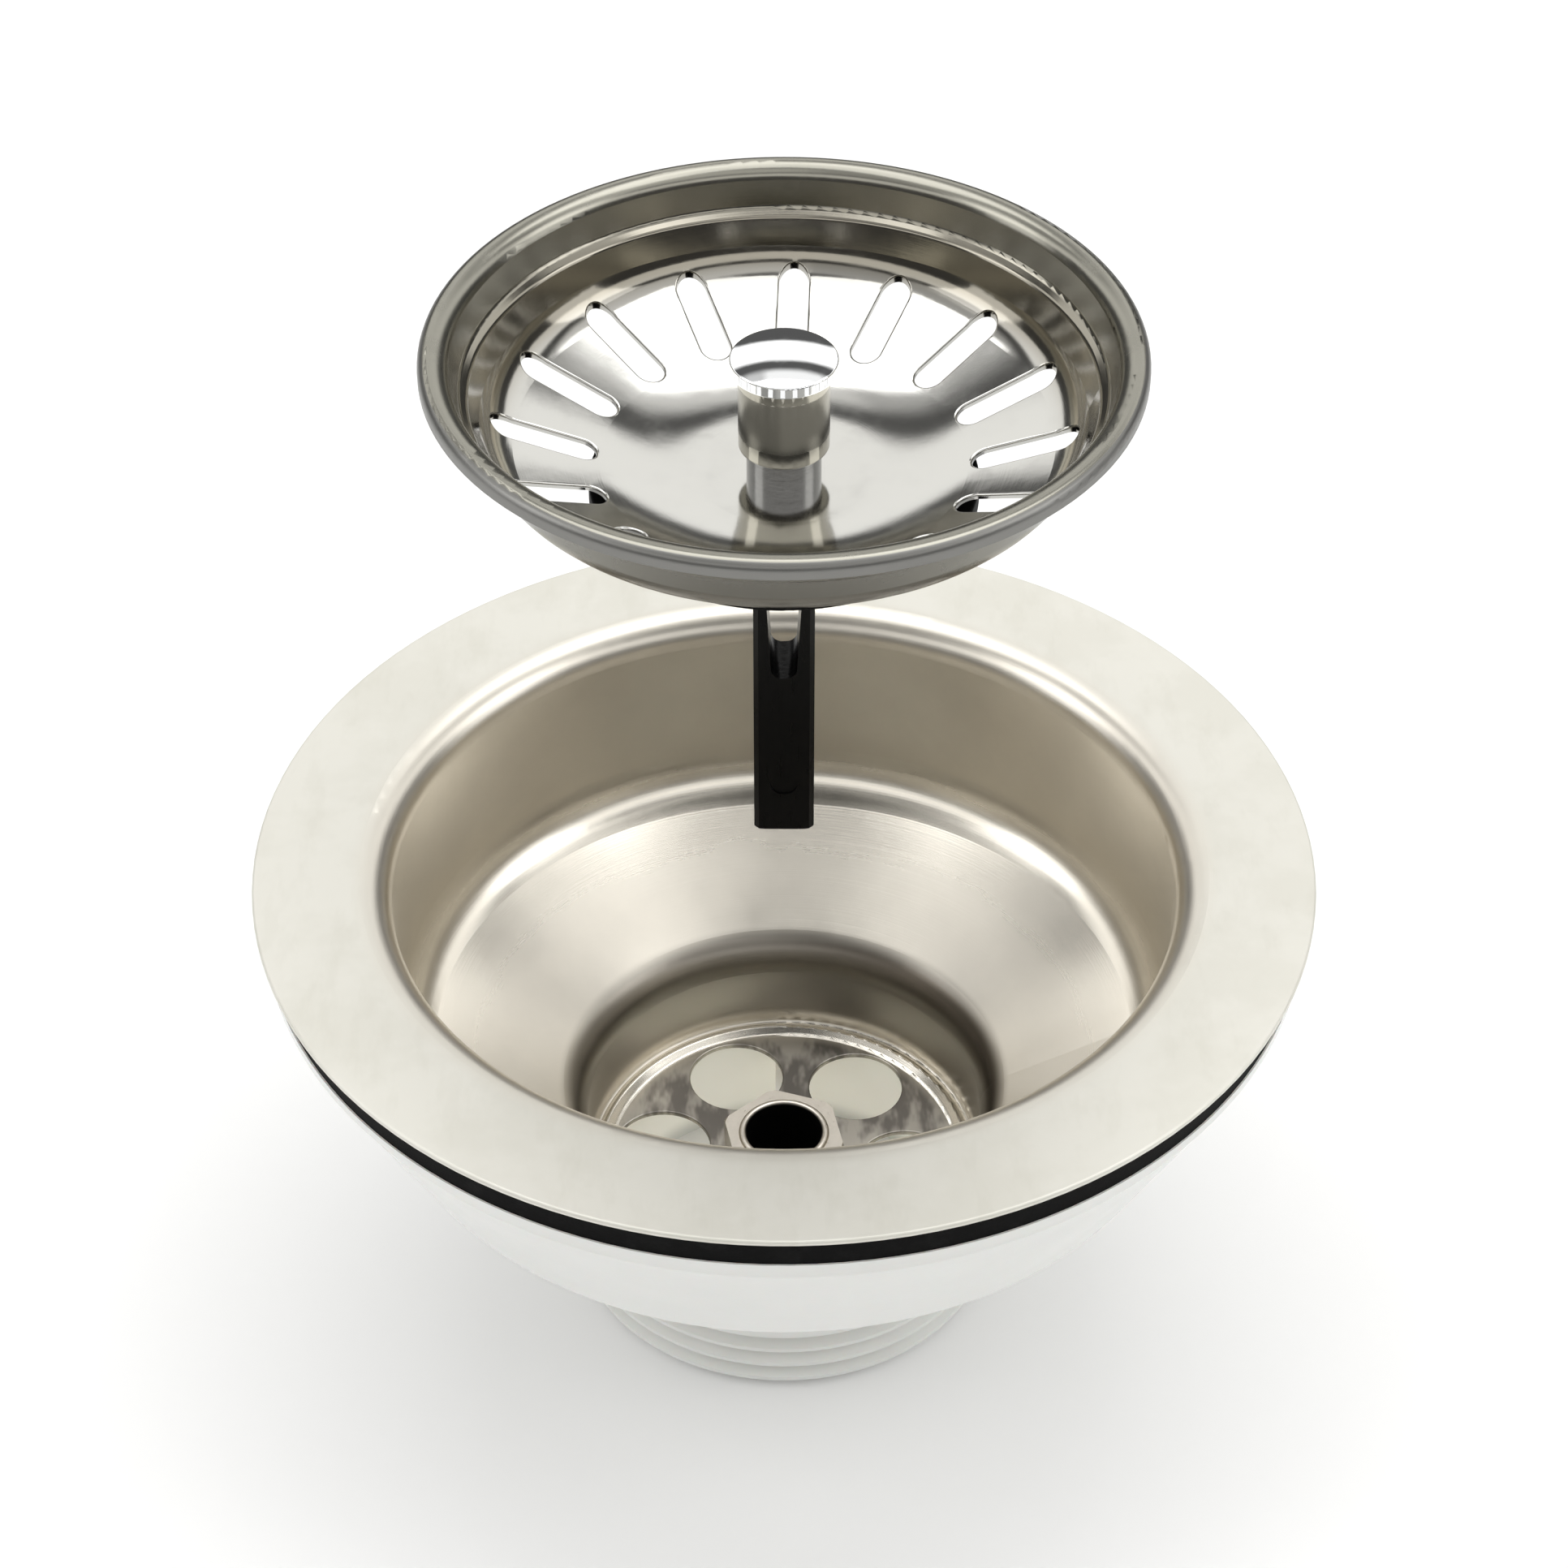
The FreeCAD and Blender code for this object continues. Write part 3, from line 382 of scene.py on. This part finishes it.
class StageSettings(bpy.types.PropertyGroup):
    """The floor, the lights and the camera."""

    floor_colour: colour_property("Floor", "Colour of the floor", (0.93, 0.93, 0.93))
    floor_size: bpy.props.FloatProperty(
        name="Floor size", description="Width of the floor", default=6.0, unit="LENGTH", min=0.5)
    camera_distance: bpy.props.FloatProperty(
        name="Camera distance", description="From the camera to the centre of the flange",
        default=0.440, unit="LENGTH", min=0.1)
    camera_elevation: bpy.props.FloatProperty(
        name="Camera elevation", description="How far above the horizontal the camera looks from",
        default=math.radians(40.91), unit="ROTATION")
    camera_lens: bpy.props.FloatProperty(
        name="Lens", description="Focal length of the camera in millimetres", default=93.9, min=10.0)
    light: bpy.props.FloatProperty(
        name="Light", description="Strength of the studio light", default=1.0, min=0.0)


# ---------------------------------------------------------------- operators

class STRAINER_OT_steel(bpy.types.Operator):
    """Gives the bowl, the dish and the knob their steel and chrome finishes."""
    bl_idname = "strainer.steel"
    bl_label = "Steel pieces"

    def execute(self, context):
        settings = context.scene.strainer
        dress("strainer_bowl", satin_steel(tuple(settings.bowl_colour), settings.bowl_rough))
        dress("basket_dish", polished_steel(tuple(settings.dish_colour), settings.dish_rough))
        plating = chrome(tuple(settings.chrome_colour), settings.chrome_rough)
        dress("knob_cap", plating)
        dress("knob_column", turned_steel("column_steel", (0.25, 0.25, 0.25), 0.06))
        dress("knob_sleeve", sleeve_steel((0.25, 0.24, 0.21), 0.2))
        plain = turned_steel("plain_steel", (0.6, 0.6, 0.6), 0.3)
        for node in ("seal_washer", "knob_screw"):
            dress(node, plain)
        return {"FINISHED"}


class STRAINER_OT_brass(bpy.types.Operator):
    """Gives the bolt and the captive nut their finishes."""
    bl_idname = "strainer.brass"
    bl_label = "Bolt and nut"

    def execute(self, context):
        settings = context.scene.strainer
        dress("clamp_bolt", nickel_brass("nickel_brass", tuple(settings.bolt_colour), 0.22))
        dress("captive_nut", nickel_brass("raw_brass", (0.78, 0.60, 0.30), 0.3))
        return {"FINISHED"}


class STRAINER_OT_rubber(bpy.types.Operator):
    """Gives the gaskets and seals their rubber."""
    bl_idname = "strainer.rubber"
    bl_label = "Gaskets and seals"

    def execute(self, context):
        rubber = black_rubber(tuple(context.scene.strainer.rubber_colour), 0.45)
        for node in ("flange_gasket", "rim_gasket", "well_seal", "plug_seal"):
            dress(node, rubber)
        return {"FINISHED"}


class STRAINER_OT_plastic(bpy.types.Operator):
    """Gives the stem and the cup their plastics."""
    bl_idname = "strainer.plastic"
    bl_label = "Stem and cup"

    def execute(self, context):
        settings = context.scene.strainer
        dress("stem", black_plastic(tuple(settings.stem_colour), 0.22))
        dress("waste_cup", white_plastic(tuple(settings.cup_colour), 0.16))
        return {"FINISHED"}


class STRAINER_OT_stage(bpy.types.Operator):
    """Makes the floor, the soft studio light and the camera."""
    bl_idname = "strainer.stage"
    bl_label = "Stage"

    def execute(self, context):
        settings = context.scene.strainer_stage
        make_floor(settings.floor_size, tuple(settings.floor_colour))
        make_light(settings.light)
        make_camera(settings)
        context.scene.view_settings.view_transform = "Standard"
        return {"FINISHED"}


# ---------------------------------------------------------------- stage

def make_floor(size, colour):
    mesh = bpy.data.meshes.new("floor")
    half = size / 2
    corners = [(-half, -half, 0), (half, -half, 0), (half, half, 0), (-half, half, 0)]
    mesh.from_pydata(corners, [], [(0, 1, 2, 3)])
    floor = bpy.data.objects.new("floor", mesh)
    bpy.context.scene.collection.objects.link(floor)
    paper = Finish("floor_paper", Base_Color=colour, Roughness=0.9, Specular_IOR_Level=0.1)
    mesh.materials.append(paper.material)


def area_light(name, place, aim, width, height, power, colour=(1.0, 1.0, 1.0)):
    lamp = bpy.data.lights.new(name, "AREA")
    lamp.shape = "RECTANGLE"
    lamp.size, lamp.size_y = width, height
    lamp.energy = power
    lamp.color = colour
    holder = bpy.data.objects.new(name, lamp)
    holder.location = place
    holder.rotation_euler = (Vector(aim) - Vector(place)).to_track_quat("-Z", "Y").to_euler()
    bpy.context.scene.collection.objects.link(holder)


def make_light(strength):
    """A tent with a bright ring of wall and a softer roof, a softbox overhead and one at each side."""
    world = bpy.data.worlds.new("studio")
    bpy.context.scene.world = world
    world.use_nodes = True
    room = Tree(world.node_tree)
    way = room.node("ShaderNodeTexCoord", output=0)
    parts = room.node("ShaderNodeSeparateXYZ", sockets={0: way}).socket.node
    x, z = (Value(room, parts.outputs[i]) for i in (0, 2))
    walls = z.band(0.36, 0.42, 0.61, 0.66)
    roof = z.band(0.70, 0.76, 0.93, 0.98)
    seam = (x + 0.30).band(-0.35, -0.28, 0.16, 0.22)
    shade = 0.10 + walls * 1.35 + roof * (0.95 - seam * 0.40)
    background = world.node_tree.nodes["Background"]
    room.join(background.inputs["Color"], (1.0, 0.995, 0.98))
    room.join(background.inputs["Strength"], shade * strength)
    aim = (0, 0, 0.07)
    area_light("overhead", (0.0, 0.25, 1.1), aim, 1.0, 0.8, 5.6 * strength)
    area_light("left", (-1.0, -0.1, 0.6), aim, 0.5, 0.9, 2.2 * strength)
    area_light("right", (1.0, -0.1, 0.6), aim, 0.5, 0.9, 2.2 * strength)


def make_camera(settings):
    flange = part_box("strainer_bowl")[1].z
    distance, rise = settings.camera_distance, settings.camera_elevation
    lens = bpy.data.cameras.new("camera")
    lens.lens = settings.camera_lens
    lens.sensor_width = 36.0
    camera = bpy.data.objects.new("camera", lens)
    camera.location = (0, -distance * math.cos(rise), flange + distance * math.sin(rise))
    aim = Vector((0, 0, flange + 10.28 * MM))
    camera.rotation_euler = (aim - camera.location).to_track_quat("-Z", "Y").to_euler()
    bpy.context.scene.collection.objects.link(camera)
    bpy.context.scene.camera = camera


# ---------------------------------------------------------------- panel

OPERATORS = (
    STRAINER_OT_steel, STRAINER_OT_brass, STRAINER_OT_rubber, STRAINER_OT_plastic, STRAINER_OT_stage,
)


class STRAINER_PT_panel(bpy.types.Panel):
    """Lists the strainer's settings and operators."""
    bl_idname = "STRAINER_PT_panel"
    bl_label = "Basket Strainer"
    bl_space_type = "VIEW_3D"
    bl_region_type = "UI"
    bl_category = "Strainer"

    def draw(self, context):
        layout = self.layout
        for group in (context.scene.strainer, context.scene.strainer_stage):
            for name in type(group).__annotations__:
                layout.prop(group, name)
        for operator in OPERATORS:
            layout.operator(operator.bl_idname)


CLASSES = (StrainerSettings, StageSettings) + OPERATORS + (STRAINER_PT_panel,)


def register():
    for cls in CLASSES:
        bpy.utils.register_class(cls)
    bpy.types.Scene.strainer = bpy.props.PointerProperty(type=StrainerSettings)
    bpy.types.Scene.strainer_stage = bpy.props.PointerProperty(type=StageSettings)


def unregister():
    del bpy.types.Scene.strainer_stage
    del bpy.types.Scene.strainer
    for cls in reversed(CLASSES):
        bpy.utils.unregister_class(cls)


def main():
    register()
    bpy.ops.strainer.steel()
    bpy.ops.strainer.brass()
    bpy.ops.strainer.rubber()
    bpy.ops.strainer.plastic()
    bpy.ops.strainer.stage()


if __name__ == "__main__":
    main()
